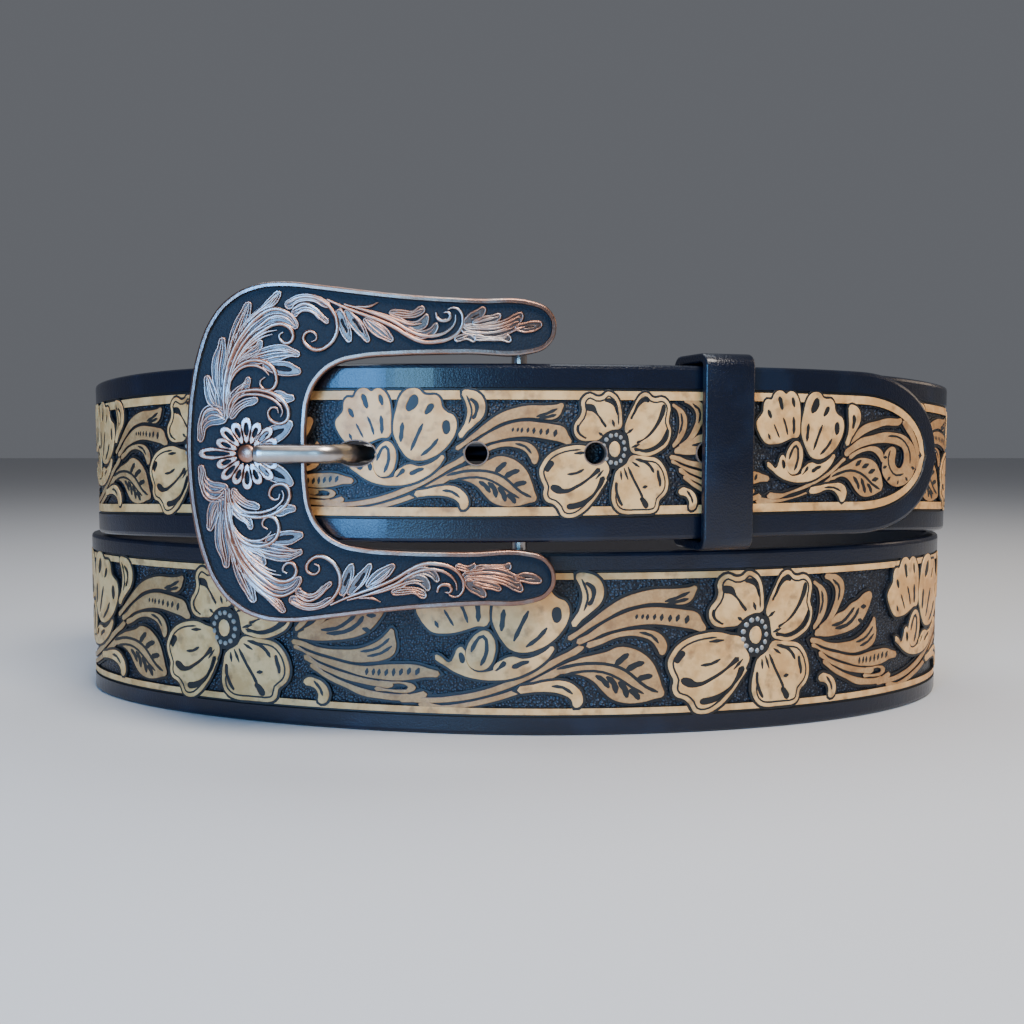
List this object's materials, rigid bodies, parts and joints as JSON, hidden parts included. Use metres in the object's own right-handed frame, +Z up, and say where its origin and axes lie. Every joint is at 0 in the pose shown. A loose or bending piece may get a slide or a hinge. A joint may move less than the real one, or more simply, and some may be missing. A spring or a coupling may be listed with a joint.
{
  "type": "western belt",
  "caption": "Tapered leather belt with a C-shaped cast buckle, fastened and coiled in two turns that stand on edge.",
  "frame": {"origin": "middle of the footprint on the surface that the belt stands on", "axes": "+X to the right along the front, +Y from the front to the back, +Z up"},
  "size_m": [0.233, 0.1152, 0.1],
  "materials": {
    "tooled_leather": "carved, antiqued tan flowers on stamped blue-black leather",
    "plain_leather": "smooth, glossy blue-black",
    "cast_metal": "antiqued copper and silver over dark recesses",
    "steel": "worn, slightly browned"
  },
  "bodies": {
    "root": {"strap": "tooled_leather", "keeper": "plain_leather", "buckle_frame": "cast_metal", "buckle_bar": "steel", "prong": "steel", "fold_post_1": "steel", "fold_post_2": "steel"}
  },
  "joints": []
}
